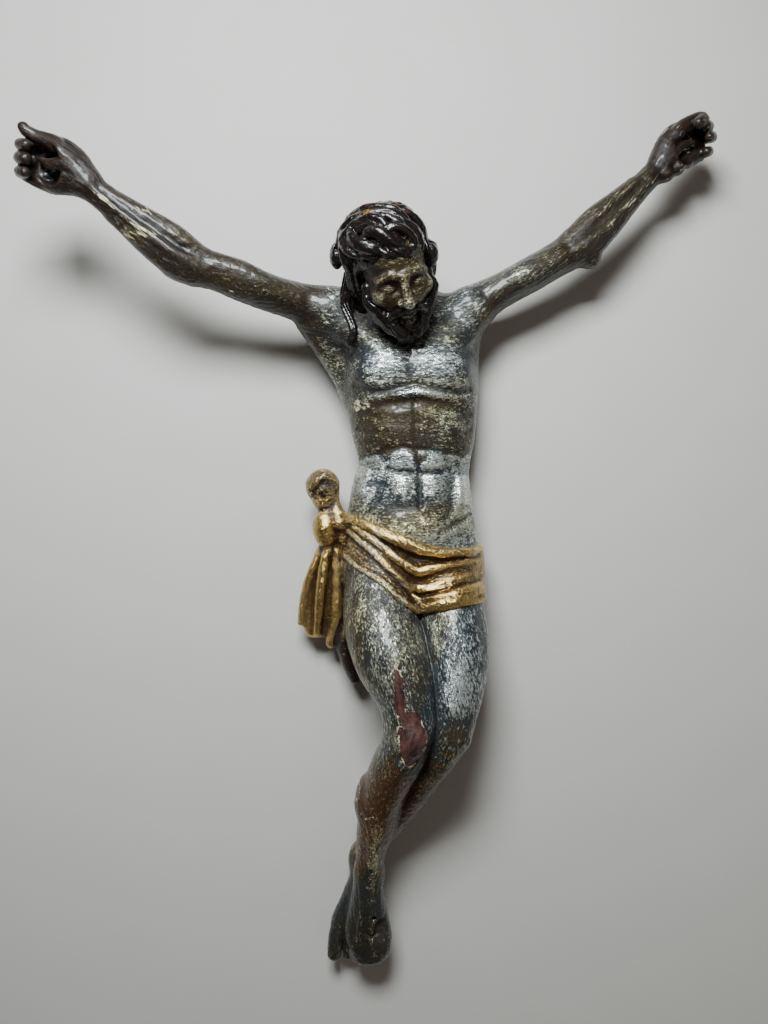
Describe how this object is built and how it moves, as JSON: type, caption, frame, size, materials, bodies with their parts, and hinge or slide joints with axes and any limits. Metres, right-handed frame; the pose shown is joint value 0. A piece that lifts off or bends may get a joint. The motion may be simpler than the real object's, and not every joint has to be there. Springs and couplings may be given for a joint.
{
  "type": "crucifix corpus figure",
  "caption": "Carved wooden corpus figure with raised arms, bowed head, knotted loincloth and crossed feet, lying on its back.",
  "frame": {"origin": "centre of the bounding box, on the plane of the flat of the back", "axes": "+Y from the feet to the head, +Z from the back to the chest, +X to the figure's left hand"},
  "size_m": [0.2928, 0.379, 0.0719],
  "materials": {
    "body": "worn silver leaf and gilding over red bole and gesso, varnished",
    "right_arm": "worn silver leaf over red bole and gesso, varnished",
    "left_arm": "worn silver leaf over red bole and gesso, varnished"
  },
  "bodies": {
    "root": {"body": "body", "right_arm": "right_arm", "left_arm": "left_arm"}
  },
  "joints": []
}
